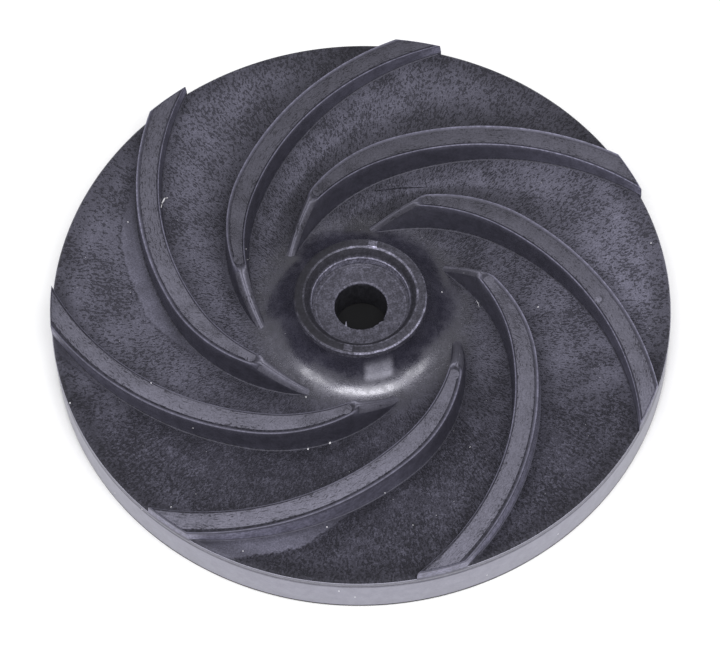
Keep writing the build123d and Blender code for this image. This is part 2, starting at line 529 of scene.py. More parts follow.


# Painted shade darkens the feet, the outer back's most, and the groove round the crown; painted light
# pales them at the rim
def footTone(i, point):
    radius = Vector((point.x, point.y)).length
    outerBack = backShare(*stations[i]) * smoothStep(*vane["footSpan"], radius)
    endLight = vane["footEndShade"] * smoothStep(*vane["footEndSpan"], radius)
    return blend(*vane["footShades"], outerBack) + endLight


def makeVane(bm):
    rings = [(topRing(*place), finTone(*shades), "top")
             for place, shades in zip(vane["topRings"], vane["topShades"])]
    rings.insert(0, (midRing(rings[0][0]), vane["topShades"][0][0]))
    rings += [(footRing(down), wallTone, "smooth") for down in vane["wallRings"]]
    rings += [(footRing(1.0, rootAngle), footTone, "smooth") for rootAngle in vane["rootAngles"]]
    under = footRing(1.0, vane["rootAngles"][-1], vane["rootSink"])
    rings += [(under, vane["underShade"], "smooth"), (midRing(under), vane["underShade"], "smooth")]
    verts = skin(bm, rings)
    insets = (vane["crownHollow"], vane["crownBack"], vane["crownEnd"])
    crown = [crownRing(*(inset + extra for inset in insets), vaneTopZ - drop)
             for extra, drop in vane["crownRings"]]
    # the crown's foot ring carries painted shade in the groove round the crown
    rings = [(midRing(crown[0]), 1.0), (crown[0], vane["crownFootShade"], "crown")]
    rings += [(ring, 1.0, "crown") for ring in crown[1:]] + [(midRing(crown[-1]), 1.0, "crown")]
    verts |= skin(bm, rings)
    bmesh.ops.remove_doubles(bm, verts=list(verts), dist=1e-4)
    verts = [v for v in verts if v.is_valid]
    faces = list({face for v in verts for face in v.link_faces})
    bmesh.ops.recalc_face_normals(bm, faces=faces)
    return verts, faces


# Painted light and shade: crowns, fins and walls are paler on some vanes than on others
def lightAndShadeVane(bm, verts, copy):
    across, shade = (bm.verts.layers.float[name] for name in ("across", "shade"))
    for v in verts:
        side = "back" if v[across] > 0 else "hollow"
        radius = Vector((v.co.x, v.co.y)).length
        if v.co.z > vaneTopZ - vane["crownDepth"]:
            v[shade] *= 1 + blend(*vane["crownLightShade"][copy], smoothStep(*vane["crownSpan"], radius))
        elif v[shade] > vane["finShade"] and ridgeShare(v.co) > 0.5:
            v[shade] *= 1 + vane["finLightShade"][copy]
        elif (copy, side) in vane["wallLightShade"]:
            start, end, change = vane["wallLightShade"][copy, side]
            fade = smoothStep(*vane["lightShadeEndSpan"], radius)
            v[shade] *= 1 + change * smoothStep(start, end, radius) * fade


# Every vane after the first is a turned copy; its streaks start elsewhere
def copyVanes(bm, verts, faces):
    along = bm.verts.layers.float["along"]
    edges = list({edge for face in faces for edge in face.edges})
    for copy in range(1, vane["count"]):
        made = bmesh.ops.duplicate(bm, geom=verts + edges + faces)["geom"]
        new = [g for g in made if isinstance(g, bmesh.types.BMVert)]
        for v in new:
            v[along] += vane["streakShift"] * copy
        lightAndShadeVane(bm, new, copy)
        bmesh.ops.rotate(bm, verts=new, cent=(0, 0, 0),
                         matrix=Matrix.Rotation(2 * pi * copy / vane["count"], 3, "Z"))
    lightAndShadeVane(bm, verts, 0)


# A painted highlight lies on the rim's top edge, and painted shade in its groove
def plateTone(r, z):
    if r < dishRadius - 0.05 or z < rimTopZ - plate["topChamfer"] - 1.7:
        return 1.0
    return plate["edgeHighlight"] if z > rimTopZ - 0.5 else plate["grooveShadow"]


# the two pads, the bore's nick and sliver of flash, the lump on a vane and the fold in the plate
details = {
    "padAngles": (76.5, 256.5), "padWidth": 2.1, "padHeight": 0.2, "padMargin": 0.1, "padRounding": 0.06,
    "padSink": 0.2,
    "notchAngle": -37.0, "notchHalf": 5.0, "notchDepth": 0.4, "boreRaggedness": 0.1,
    "flashAngle": -126.0, "flashLength": 1.7, "flashRadius": 0.34, "flashTip": 0.04,
    "flashFlatness": 0.45, "flashRise": 0.75,
    "lump": (53.3, -3.3), "lumpSize": (1.1, 0.95, 0.42),
    "fold": [(4.2, 32.3), (6.8, 32.5), (9.5, 32.75), (12.2, 32.7), (15.6, 32.5)], "foldRadius": 0.17,
    # lumpShade is a painted highlight on the lump
    "padShade": 1.0, "flashShade": 2.4, "lumpShade": 1.5, "foldShade": 0.3,
}


# The bore's upper edge is a little ragged, with a nick in it
def roughenBore(bm):
    floorZ = noseTopZ - plate["floorDepth"]
    for v in bm.verts:
        radius = Vector((v.co.x, v.co.y)).length
        if radius < plate["boreRadius"] + 0.5 and floorZ - 0.6 < v.co.z < floorZ + 0.05:
            angle = angleOf(v.co)
            off = abs((angle - details["notchAngle"] + 180) % 360 - 180) / details["notchHalf"]
            push = details["boreRaggedness"] * noise.noise(polar(9, angle))
            v.co += polar(push + details["notchDepth"] * max(0.0, 1 - off), angle)


def addDetails(bm):
    along, across, shade = (bm.verts.layers.float[name] for name in ("along", "across", "shade"))

    # new vertices are the ones that have no shade yet
    def settle(slot, tone):
        new = [v for v in bm.verts if v[shade] == 0]
        faces = list({face for v in new for face in v.link_faces})
        for face in faces:
            face.material_index = slots.index(slot)
        for v in new:
            v[along], v[across], v[shade] = v.co.x, v.co.y, tone
        bmesh.ops.recalc_face_normals(bm, faces=faces)
        return new

    inner = plate["mouthRadius"] + details["padMargin"]
    outer = plate["noseRadius"] - plate["noseChamfer"] - details["padMargin"]
    bottom, top = noseTopZ - details["padSink"], noseTopZ + details["padHeight"]
    for angle in details["padAngles"]:
        made = bmesh.ops.create_cube(bm, size=1)["verts"]
        bmesh.ops.scale(bm, vec=(outer - inner, details["padWidth"], top - bottom), verts=made)
        edges = list({e for v in made for e in v.link_edges})
        bmesh.ops.bevel(bm, geom=edges, offset=details["padRounding"], segments=2, profile=0.5,
                        affect="EDGES", material=-1)
        new = settle("hub", details["padShade"])
        bmesh.ops.translate(bm, vec=((inner + outer) / 2, 0, (bottom + top) / 2), verts=new)
        bmesh.ops.rotate(bm, verts=new, cent=(0, 0, 0), matrix=Matrix.Rotation(radians(angle), 3, "Z"))

    made = bmesh.ops.create_cone(bm, cap_ends=True, cap_tris=False, segments=10,
                                 radius1=details["flashRadius"], radius2=details["flashTip"],
                                 depth=details["flashLength"])["verts"]
    bmesh.ops.scale(bm, vec=(1, details["flashFlatness"], 1), verts=made)
    edge = polar(plate["boreRadius"] - 0.05, details["flashAngle"], noseTopZ - plate["floorDepth"] - 0.05)
    leaning = polar(-0.8, details["flashAngle"] + 30, details["flashRise"]).to_track_quat("Z", "Y")
    bmesh.ops.transform(bm, matrix=Matrix.Translation(edge) @ leaning.to_matrix().to_4x4(), verts=made)
    settle("crown", details["flashShade"])

    made = bmesh.ops.create_icosphere(bm, subdivisions=3, radius=1)["verts"]
    bmesh.ops.scale(bm, vec=details["lumpSize"], verts=made)
    bmesh.ops.translate(bm, vec=(*details["lump"], vaneTopZ - details["lumpSize"][2]), verts=made)
    settle("crown", details["lumpShade"])

    # the fold is painted dark, as painted shade in a crease
    path = [Vector((x, y, surfaceZ(Vector((x, y)).length))) for x, y in details["fold"]]
    thread(bm, path, details["foldRadius"], 0.02)
    settle("smooth", details["foldShade"])


# Stores how far each plate vertex is from the nearest vane, and whether that is its back
def measureGaps(bm, plateVerts):
    gap, gapBack, shade = (bm.verts.layers.float[name] for name in ("gap", "gapBack", "shade"))
    foot = footRing(1.0, 90)
    tree = KDTree(len(foot) * 4 * vane["count"])
    backs = []
    for copy in range(vane["count"]):
        turn = Matrix.Rotation(2 * pi * copy / vane["count"], 3, "Z")
        for i in range(len(foot)):
            for quarter in range(4):
                point = turn @ foot[i].lerp(foot[(i + 1) % len(foot)], quarter / 4)
                tree.insert(Vector((point.x, point.y, 0)), len(backs))
                backs.append(backShare(*stations[i]))
    tree.balance()
    for v in plateVerts:
        place, index, distance = tree.find(Vector((v.co.x, v.co.y, 0)))
        v[gap], v[gapBack] = distance, round(backs[index])
        v[shade] = plateTone(Vector((v.co.x, v.co.y)).length, v.co.z)


def finish(bm, name, materials):
    bmesh.ops.scale(bm, vec=(mm, mm, mm), verts=bm.verts[:])
    mesh = bpy.data.meshes.new(name)
    bm.to_mesh(mesh)
    bm.free()
    for material in materials:
        mesh.materials.append(material)
    mesh.polygons.foreach_set("use_smooth", [True] * len(mesh.polygons))
    mesh.set_sharp_from_angle(angle=radians(38))
    piece = bpy.data.objects.new(name, mesh)
    bpy.context.scene.collection.objects.link(piece)
    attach(piece, "root")
    return piece


# Patterns work in millimetres of the object's own coordinates. Colours are sRGB, turned linear here
def linear(hexColour):
    def channel(value):
        value /= 255
        return value / 12.92 if value <= 0.04045 else ((value + 0.055) / 1.055) ** 2.4
    return (channel(hexColour >> 16), channel(hexColour >> 8 & 255), channel(hexColour & 255), 1.0)


# Adds a node with its settings and links: inputs in their order or by name. Gives back one output
def addNode(tree, kind, *inputs, named=(), out=0, **settings):
    made = tree.nodes.new("ShaderNode" + kind)
    for key, value in settings.items():
        setattr(made, key, value)
    for key, value in [*enumerate(inputs), *dict(named).items()]:
        if isinstance(value, bpy.types.NodeSocket):
            tree.links.new(value, made.inputs[key])
        else:
            made.inputs[key].default_value = value
    return made.outputs[out]


# Settings that many nodes share
times = {"operation": "MULTIPLY"}
timesAdd = {"operation": "MULTIPLY_ADD"}
minus = {"operation": "SUBTRACT"}
unsigned = {"operation": "ABSOLUTE"}
eased = {"interpolation_type": "SMOOTHSTEP"}
rubber = {"ior": 1.52, "sheenTint": (0.86, 0.845, 1.0, 1.0)}    # bloom tints its highlights violet


def startMaterial(name, roughness):
    material = bpy.data.materials.new(name)
    material.use_nodes = True
    shader = material.node_tree.nodes["Principled BSDF"].inputs
    shader["Roughness"].default_value = roughness
    shader["IOR"].default_value = rubber["ior"]
    shader["Specular Tint"].default_value = rubber["sheenTint"]
    add = partial(addNode, material.node_tree)
    where = add("VectorMath", add("TexCoord", out="Object"), named={"Scale": 1 / mm}, operation="SCALE")
    return material, add, where


def finishMaterial(material, add, sockets, height, depth):
    sockets["Normal"] = add("Bump", named={"Height": height, "Distance": depth * mm, "Strength": 1.0})
    for name, socket in sockets.items():
        material.node_tree.links.new(socket, material.node_tree.nodes["Principled BSDF"].inputs[name])
    return material


# Multiplies all the factors into the first
def product(add, tone, factors):
    for factor in factors:
        tone = add("Math", tone, factor, **times)
    return tone


def lengthOf(add, dx, dy):
    squares = add("Math", dx, dx, add("Math", dy, dy, **times), **timesAdd)
    return add("Math", squares, operation="SQRT")


# Fades from 1 round a place to 0 at the reach given
def within(add, parts, x, y, reach):
    away = lengthOf(add, add("Math", parts[0], x, **minus), add("Math", parts[1], y, **minus))
    return add("MapRange", away, 0.3 * reach, reach, 1, 0, **eased)


plateLook = {
    "colour": 0x545360, "lowerColour": 0x32313B, "frostColour": 0x464551, "hubColour": 0x34333F,
    "spotColour": 0x9C9BA9, "roughness": 0.6, "hubRoughness": 0.31, "coatRoughness": 0.205, "depth": 0.19,
    # pits, skin, mottle and patches: size (mm), detail, roughness. The grain of a moulded skin is too
    # fine to show, so it is drawn coarser
    "noises": [(0.35, 2.0, 0.65), (0.34, 2.0, 0.7), (2.0, 4.0, 0.65), (9.0, 3.0, 0.6)],
    "pitStretch": 0.42,             # along the flow
    "streakRadius": 45,             # where a pit has its true width
    "pitLimit": (-0.34, 0.62), "pitTone": -0.62, "skinTone": (1.1, 0.9), "skinShift": (-0.55, 0.55),
    "gapRaggedness": 4.0, "radiusRaggedness": 6.0, "hubRaggedness": 5.0, "lowerRaggedness": 24.0,
    # smooth aprons behind the vanes: x, y, reach
    "aprons": [(-55, 8, 30), (-23, -68, 28)],
    "apronWidth": 4.4, "apronRaggedness": (2.4, -1.2), "apronShadow": 0.92, "brinkTone": -0.6,
    # darker and paler patches: x, y, reach, change
    "patches": [(-50, 2, 30, -0.1), (-14, -51, 32, -0.18), (61, 9, 22, 0.34), (28, 52, 22, -0.2)],
    "shadowTone": 0.6, "rimTone": -0.42, "frostShare": 0.9,
    # a paler square on the flare: its middle, and ramps across it and up it
    "spotX": 3.5, "spotRadius": 16.8, "spotWidth": (2.3, 3.8, 1, 0), "spotHeight": (0.65, 1.75, 1, 0),
    "spotFront": (-8, -10), "spotRise": (15.2, 17.4, 0.6, 0.95),
    # ramps: start, end, and the values there, or 0 and 1
    "hubEdge": (23.5, 31, 1, 0), "apronEdge": (-0.3, 0.4), "brinkReach": (0.1, 0.5, 1, 0),
    "brinkPits": (0.52, 0.46), "stripEdge": (0.2, -0.6), "stripGap": (0.3, 1.2),
    "stripTone": (-10, -45, 0.3, 0.6), "pitEdge": (0.0, -0.05), "lowerSide": (0, -20),
    "wornSide": (-10, 35, -0.55, -0.15), "wornReach": (46, 62, 1.0, 0.2), "frostEdge": (1.38, 1.7),
    "hollowSide": (15, 45, 0, 0.36), "shadowReach": (1.2, 6.5), "leeSide": (8, 30, 0, -0.62),
    "leeReach": (4.5, 15), "leeLeft": (-45, -15, 0.35, 1.0), "innerSide": (-35, 5, 1.0, 0.73),
    "innerReach": (33, 50), "rimBand": (67, 71), "mottleTone": (0.3, 0.7, 0.91, 1.09),
    "patchTone": (0.35, 0.65, 0.88, 1.12), "speckle": (0.62, 0.9, -0.09, 0.11), "sheen": (0, 1, 0.5, 1.0),
    # height: skin on the rough part, skin anywhere, and the step up to the rough part
    "skinHeight": (0.6, 0.22), "roughHeight": 0.3,
}


# Moulded rubber has a dull, leathery skin. The flow has drawn its pits out away from the axis
def plateRubber():
    look = plateLook
    material, add, where = startMaterial("mouldedRubber", look["roughness"])
    parts = add("SeparateXYZ", where).node.outputs
    x, y, radius = parts[0], parts[1], lengthOf(add, parts[0], parts[1])
    turn = [add("Math", add("Math", part, radius, operation="DIVIDE"), look["streakRadius"], **times)
            for part in (x, y)]
    streaks = add("CombineXYZ", *turn, add("Math", radius, look["pitStretch"], **times))
    pitNoise, fine, mottle, patch = (
        add("TexNoise", named={"Vector": vector, "Scale": 1 / grain, "Detail": detail, "Roughness": rough})
        for vector, (grain, detail, rough) in zip((streaks, where, where, where), look["noises"]))
    gap, gapBack = (add("Attribute", attribute_name=name, out="Fac") for name in ("gap", "gapBack"))
    gapRagged = add("Math", mottle, look["gapRaggedness"], gap, **timesAdd)
    radiusRagged = add("Math", mottle, look["radiusRaggedness"], radius, **timesAdd)
    hubRagged = add("Math", mottle, look["hubRaggedness"], radius, **timesAdd)

    # the hub is smooth, and so is an apron behind some of the vanes
    hub = add("MapRange", hubRagged, *look["hubEdge"], **eased)
    offHub = add("Math", 1.0, hub, **minus)
    plain, *others = (within(add, parts, *place) for place in look["aprons"])
    for other in others:
        plain = add("Math", plain, other, operation="MAXIMUM")
    plain = add("Math", plain, gapBack, **times)
    apron = add("Math", offHub, plain, **times)
    edge = add("Math", plain, -look["apronWidth"], gap, **timesAdd)
    edge = add("Math", edge, add("Math", mottle, *look["apronRaggedness"], **timesAdd))
    rough = add("Math", add("MapRange", edge, *look["apronEdge"], **eased), offHub, **times)
    brink = add("MapRange", add("Math", edge, **unsigned), *look["brinkReach"], **eased)
    brink = product(add, brink, [add("MapRange", pitNoise, *look["brinkPits"], **eased), apron])
    strip = product(add, add("MapRange", edge, *look["stripEdge"], **eased),
                    [apron, add("MapRange", gap, *look["stripGap"], **eased)])

    # pits come in patches, and fewer show on the near side
    pits = add("Math", pitNoise, add("Math", patch, *look["pitLimit"], **timesAdd), **minus)
    pits = add("MapRange", pits, *look["pitEdge"], **eased)
    lower = add("Math", patch, look["lowerRaggedness"], y, **timesAdd)
    lower = add("Math", add("MapRange", lower, *look["lowerSide"], **eased), rough, **times)
    wearAndBreakup = add("Math", add("MapRange", x, *look["wornSide"], **eased),
               add("MapRange", radius, *look["wornReach"], **eased), **times)
    pits = add("Math", pits, add("Math", lower, wearAndBreakup, rough, **timesAdd), **times)
    # pale bloom gathers on the skin there instead
    frost = add("Math", fine, look["frostShare"], pitNoise, **timesAdd)
    frost = add("Math", mottle, look["frostShare"], frost, **timesAdd)
    frost = add("Math", add("MapRange", frost, *look["frostEdge"], **eased), lower, **times)

    # painted shade lies along the vanes, wide behind the far ones and round the hub; a few wide patches
    # are darker or paler
    shadowLow = add("Math", add("Math", 1.0, gapBack, **minus),
                add("MapRange", x, *look["hollowSide"], **eased), **times)
    shadowLow = add("Math", shadowLow, look["shadowTone"])
    shadowed = add("MapRange", gapRagged, *look["shadowReach"], shadowLow, 1.0, **eased)
    onApron = add("Math", plain, look["apronShadow"], **times)
    shadowed = add("Math", shadowed, onApron, operation="MAXIMUM")
    leeShadow = add("MapRange", y, *look["leeSide"], **eased)
    leeShadow = add("MapRange", gapRagged, *look["leeReach"], leeShadow, 0, **eased)
    leeShadow = add("Math", leeShadow, add("MapRange", x, *look["leeLeft"], **eased), **times)
    inner = add("MapRange", add("Math", x, y), *look["innerSide"], **eased)
    inner = add("MapRange", radiusRagged, *look["innerReach"], inner, 1.0, **eased)
    patches = [add("Math", within(add, parts, *place), change, 1.0, **timesAdd)
               for *place, change in look["patches"]]
    skinTone = add("Math", fine, add("Math", offHub, *look["skinTone"], **timesAdd),
                   add("Math", offHub, *look["skinShift"], **timesAdd), **timesAdd)
    band = add("MapRange", radiusRagged, *look["rimBand"], **eased)
    stripTone = add("MapRange", y, *look["stripTone"], **eased)
    tone = product(add, add("MapRange", mottle, *look["mottleTone"], **eased), [
        add("Math", leeShadow, gapBack, 1.0, **timesAdd), inner, *patches, skinTone,
        add("Math", pits, look["pitTone"], 1.0, **timesAdd),
        add("Math", brink, look["brinkTone"], 1.0, **timesAdd),
        add("Math", band, look["rimTone"], 1.0, **timesAdd), shadowed,
        add("Math", strip, stripTone, 1.0, **timesAdd),
        add("MapRange", patch, *look["patchTone"], **eased),
    ])

    aside = add("Math", add("Math", x, look["spotX"], **minus), **unsigned)
    beyond = add("Math", add("Math", radius, look["spotRadius"], **minus), **unsigned)
    spot = product(add, add("MapRange", aside, *look["spotWidth"], **eased), [
        add("MapRange", beyond, *look["spotHeight"], **eased),
        add("MapRange", y, *look["spotFront"], **eased),
        add("MapRange", radius, *look["spotRise"], **eased),
    ])
    colour = linear(look["colour"])
    for share, name in ((lower, "lowerColour"), (frost, "frostColour"), (hub, "hubColour"),
                        (spot, "spotColour")):
        colour = add("Mix", named={0: share, 6: colour, 7: linear(look[name])}, data_type="RGBA", out=2)

    # a trace of release agent makes the hub glossier, unevenly
    speckled = add("MapRange", add("Math", fine, 0.5, mottle, **timesAdd), *look["speckle"], **eased)
    gloss = add("MapRange", hub, 0, 1, look["roughness"], look["hubRoughness"], **eased)
    height = add("Math", fine, add("Math", rough, *look["skinHeight"], **timesAdd), **times)
    height = add("Math", pits, -1.0, height, **timesAdd)
    height = add("Math", rough, look["roughHeight"], height, **timesAdd)
    sockets = {
        "Base Color": add("VectorMath", colour, named={"Scale": tone}, operation="SCALE"),
        "Roughness": add("Math", speckled, hub, gloss, **timesAdd),
        "Specular IOR Level": add("MapRange", hub, *look["sheen"], **eased),
        "Coat Weight": hub,
        "Coat Roughness": add("Math", speckled, 0.8, look["coatRoughness"], **timesAdd),
    }
    return finishMaterial(material, add, sockets, height, look["depth"])


smoothLook = {
    # skin, mottle and blotches: size (mm), detail, roughness
    "noises": [(0.45, 2.0, 0.7), (2.5, 4.0, 0.6), (0.7, 2.0, 0.6)],
    "mottleSpan": (0.3, 0.7), "blotchSpan": (0.4, 0.6),
}


# Rubber from a smooth mould is even and dull. The painted light and shade stored in the mesh comes in
# blotches
def smoothRubber(name, colour, roughness, depth, unevenness):
    material, add, where = startMaterial(name, roughness)
    fine, mottle, blotches = (
        add("TexNoise", named={"Vector": where, "Scale": 1 / grain, "Detail": detail, "Roughness": rough})
        for grain, detail, rough in smoothLook["noises"])
    blotches = add("MapRange", blotches, *smoothLook["blotchSpan"], 1 - 2 * unevenness, 1 + 2 * unevenness, **eased)
    shade = add("Math", add("Attribute", attribute_name="shade", out="Fac"), 1.0, **minus)
    tone = add("MapRange", mottle, *smoothLook["mottleSpan"], 1 - unevenness, 1 + unevenness, **eased)
    tone = product(add, tone, [add("Math", fine, 4 * unevenness, 1 - 2 * unevenness, **timesAdd),
                               add("Math", shade, blotches, 1.0, **timesAdd)])
    base = add("VectorMath", linear(colour)[:3], named={"Scale": tone}, operation="SCALE")
    return finishMaterial(material, add, {"Base Color": base}, fine, depth)


crownLook = {
    "colour": 0x55545F, "roughness": 0.62, "depth": 0.05,
    # streaks, pits, patches and skin: size (mm), detail, roughness. The finest streaks of a real
    # ground face are too fine to show, so they are drawn coarser
    "noises": [(0.3, 2.0, 0.5), (0.42, 2.0, 0.6), (6.0, 2.0, 0.5), (0.36, 2.0, 0.7)],
    "streakStretch": 0.13, "pitStretch": 0.5, "pitLimit": (-0.4, 0.57), "pitTone": -0.7,
    "skinTone": (1.3, 0.35), "lumpTone": 0.7, "lumpShadow": -0.5, "lumpRadius": 1.1,
    "sideShare": 0.4,               # of x, added to y for the ramps from back to front
    # ramps: start, end, and the values there, or 0 and 1
    "streakEdge": (0.43, 0.36), "streakOuter": (20, 55, 0.35, 1.0), "streakTone": (-5, 25, -0.65, -0.3),
    "nearSide": (0, -35, 0, -0.045), "pitEdge": (0.0, -0.05), "ringReach": (0.1, 0.25, 1, 0),
    # frontTone and nearTone are painted light: the crowns are lighter towards the front
    "ringSide": (0.2, 0.7), "patchTone": (0.35, 0.65, 0.92, 1.08), "frontTone": (65, -90, 0.48, 1.74),
    "nearTone": (-20, -60, 1.0, 1.2), "lumpTop": (0.65, 0.9, 1, 0), "lumpRise": (0.0, 1.0, 1, 0),
    "edgeBand": (1.2, 1.8), "edgePits": 0.065,
    # heights of the pits, the streaks and the lump
    "pitHeight": -0.6, "streakHeight": -0.5, "lumpHeight": 4.0,
}


# Ground rubber: streaks run along the vane, with small torn pits between them and at the edges
def crownRubber():
    look = crownLook
    material, add, where = startMaterial("groundRubber", look["roughness"])
    parts = add("SeparateXYZ", where).node.outputs
    x, y = parts[0], parts[1]
    along, across, shade = (add("Attribute", attribute_name=name, out="Fac")
                            for name in ("along", "across", "shade"))
    lines, marks = (add("CombineXYZ", add("Math", along, look[name], **times), across)
                    for name in ("streakStretch", "pitStretch"))
    line, pitNoise, patch, fine = (
        add("TexNoise", named={"Vector": vector, "Scale": 1 / grain, "Detail": detail, "Roughness": rough})
        for vector, (grain, detail, rough) in zip((lines, marks, where, where), look["noises"]))
    # the distance from the nose, without the shift of each vane's streaks
    outer = add("Math", along, vane["streakShift"], operation="MODULO")
    streak = add("Math", add("MapRange", line, *look["streakEdge"], **eased),
                 add("MapRange", outer, *look["streakOuter"], **eased), **times)
    margin = add("MapRange", add("Math", across, **unsigned), *look["edgeBand"],
                 add("MapRange", y, *look["nearSide"], **eased), look["edgePits"], **eased)
    limit = add("Math", add("Math", patch, *look["pitLimit"], **timesAdd), margin)
    pits = add("MapRange", add("Math", pitNoise, limit, **minus), *look["pitEdge"], **eased)

    # the lump on one vane is painted pale on top, a painted highlight, with painted shadow on its far side
    dx, dy = (add("Math", part, middle, **minus) for part, middle in zip((x, y), details["lump"]))
    away = lengthOf(add, dx, dy)
    ring = add("Math", add("Math", away, look["lumpRadius"], **minus), **unsigned)
    ring = add("Math", add("MapRange", ring, *look["ringReach"], **eased),
               add("MapRange", dx, *look["ringSide"], **eased), **times)
    onLump = add("MapRange", away, *look["lumpTop"], **eased)

    # painted light: the crowns are lighter towards the front and darker at the back
    lengthwise = add("Math", x, look["sideShare"], y, **timesAdd)
    streakTone = add("MapRange", x, *look["streakTone"], **eased)
    tone = product(add, add("Math", fine, *look["skinTone"], **timesAdd), [
        add("Math", streak, streakTone, 1.0, **timesAdd),
        add("Math", pits, look["pitTone"], 1.0, **timesAdd), shade,
        add("MapRange", patch, *look["patchTone"], **eased),
        add("MapRange", lengthwise, *look["frontTone"], **eased),
        add("MapRange", lengthwise, *look["nearTone"], **eased),
        add("Math", onLump, look["lumpTone"], 1.0, **timesAdd),
        add("Math", ring, look["lumpShadow"], 1.0, **timesAdd),
    ])
    base = add("VectorMath", linear(look["colour"])[:3], named={"Scale": tone}, operation="SCALE")
    height = add("Math", streak, look["streakHeight"], fine, **timesAdd)
    height = add("Math", pits, look["pitHeight"], height, **timesAdd)
    height = add("Math", add("MapRange", away, *look["lumpRise"], **eased), look["lumpHeight"], height,
                 **timesAdd)
    return finishMaterial(material, add, {"Base Color": base}, height, look["depth"])


hubLook = {
    "colour": 0x4A4954, "boreColour": 0x2A2A2F, "roughness": 0.5, "depth": 0.04,
    # skin, mottle and the breakup of the painted highlights: size (mm), detail, roughness
    "noises": [(0.36, 2.0, 0.7), (1.3, 3.0, 0.6), (2.4, 3.0, 0.6)],
    # how much each part of the hub is lighter or darker
    "footTone": 0.6, "taperTone": -0.75, "wallTone": 1.2, "floorTone": -0.18, "mouthTone": 0.9,
    "padTone": 2.0,
    # ramps: start, end, and the values there, or 0 and 1
    "breakup": (0.38, 0.62, 0.45, 1.35), "ringTone": (-9, 9, -0.88, -0.45), "lipTone": (-6, 8, 2.0, 6.0),
    "lipSide": (3, 10, 1.0, 0.45), "browTone": (2, -9, 1.6, 8.0), "stepTone": (-4, 6, 0.6, 3.6),
    "mottleTone": (0.3, 0.7, 0.62, 1.38), "skinTone": (0.35, 0.65, 0.55, 1.45),
    # how far each reaches
    "lipReach": 0.36, "browReach": 0.34, "stepReach": 0.3, "wallReach": 1.2, "footReach": 0.18,
}


# Faced rubber has a worn cutter's speckle. The hub's lips carry painted highlights, and the taper painted
# shade
def hubRubber():
    look = hubLook
    material, add, where = startMaterial("facedRubber", look["roughness"])
    parts = add("SeparateXYZ", where).node.outputs
    x, y, height = parts
    radius = lengthOf(add, x, y)
    fine, mottle, wearAndBreakup = (
        add("TexNoise", named={"Vector": where, "Scale": 1 / grain, "Detail": detail, "Roughness": rough})
        for grain, detail, rough in look["noises"])
    wearAndBreakup = add("MapRange", wearAndBreakup, *look["breakup"], **eased)

    # 1 where a height or a distance from the axis is the one given, 0 from the reach on
    def near(value, target, reach):
        off = add("Math", add("Math", value, target, **minus), **unsigned)
        return add("MapRange", off, 0.3 * reach, reach, 1, 0, **eased)

    mouthR, noseR, wallR = plate["mouthRadius"], plate["noseRadius"], plate["wallRadius"]
    stepZ = noseTopZ - plate["taperDepth"]
    floorZ = noseTopZ - plate["floorDepth"]
    # painted light and shade: highlights on the lips, the outer edge and the step; shade on the ring's
    # left, the taper and the recess floor; light on the recess wall
    onTop = add("MapRange", height, noseTopZ - 0.5, noseTopZ - 0.3, **eased)
    ring = add("Math", onTop, add("MapRange", x, *look["ringTone"], **eased), **times)
    lipTone = add("Math", wearAndBreakup, add("MapRange", y, *look["lipTone"], **eased), **times)
    lip = product(add, near(radius, mouthR + 0.08, look["lipReach"]),
                  [onTop, lipTone, add("MapRange", x, *look["lipSide"], **eased)])
    browTone = add("Math", wearAndBreakup, add("MapRange", y, *look["browTone"], **eased), **times)
    brow = product(add, near(radius, noseR - 0.1, look["browReach"]), [onTop, browTone])
    step = product(add, near(height, stepZ, look["stepReach"]),
                   [near(radius, wallR, 0.4), add("MapRange", y, *look["stepTone"], **eased)])
    foot = add("Math", near(radius, wallR - 0.9, look["footReach"]), near(height, floorZ, 0.3), **times)
    taper = add("Math", near(height, (stepZ + noseTopZ) / 2 + 0.1, look["wallReach"]),
                add("MapRange", radius, mouthR - 0.1, mouthR - 0.3, **eased), **times)
    wall = near(height, (stepZ + floorZ) / 2, look["wallReach"])
    floor = near(height, floorZ, 0.3)
    mouth = add("Math", near(radius, plate["boreRadius"] + 0.15, 0.3), near(height, floorZ, 0.5), **times)
    pad = add("MapRange", height, noseTopZ + 0.05, noseTopZ + 0.15, **eased)
    bore = add("MapRange", height, floorZ - 0.4, floorZ - 1.0, **eased)

    tone = add("Math", add("MapRange", mottle, *look["mottleTone"], **eased),
               add("MapRange", fine, *look["skinTone"], **eased), **times)
    tone = product(add, tone, [
        add("Math", mask, strength, 1.0, **timesAdd)
        for mask, strength in ((ring, 1.0), (lip, 1.0), (brow, 1.0), (step, 1.0),
                               (foot, look["footTone"]), (taper, look["taperTone"]),
                               (wall, look["wallTone"]), (floor, look["floorTone"]),
                               (mouth, look["mouthTone"]), (pad, look["padTone"]))])
    # the bore is painted dark, as painted shade in a deep hole
    colour = add("Mix", named={0: bore, 6: linear(look["colour"]), 7: linear(look["boreColour"])},
                 data_type="RGBA", out=2)
    base = add("VectorMath", colour, named={"Scale": tone}, operation="SCALE")
    return finishMaterial(material, add, {"Base Color": base}, fine, look["depth"])


# The walls are smooth moulded rubber. The rim is painted pale, a painted reflection of the bright paper,
# and is a little glossier
surfaces = {
    "plate": plateRubber(),
    "smooth": smoothRubber("smoothMouldedRubber", 0x454450, roughness=0.5, depth=0.02, unevenness=0.17),
    "crown": crownRubber(),
    "rim": smoothRubber("rimPaintedLightRubber", 0x8E8D9A, roughness=0.42, depth=0.01, unevenness=0.07),
    "hub": hubRubber(),
}
print("stage: materials")

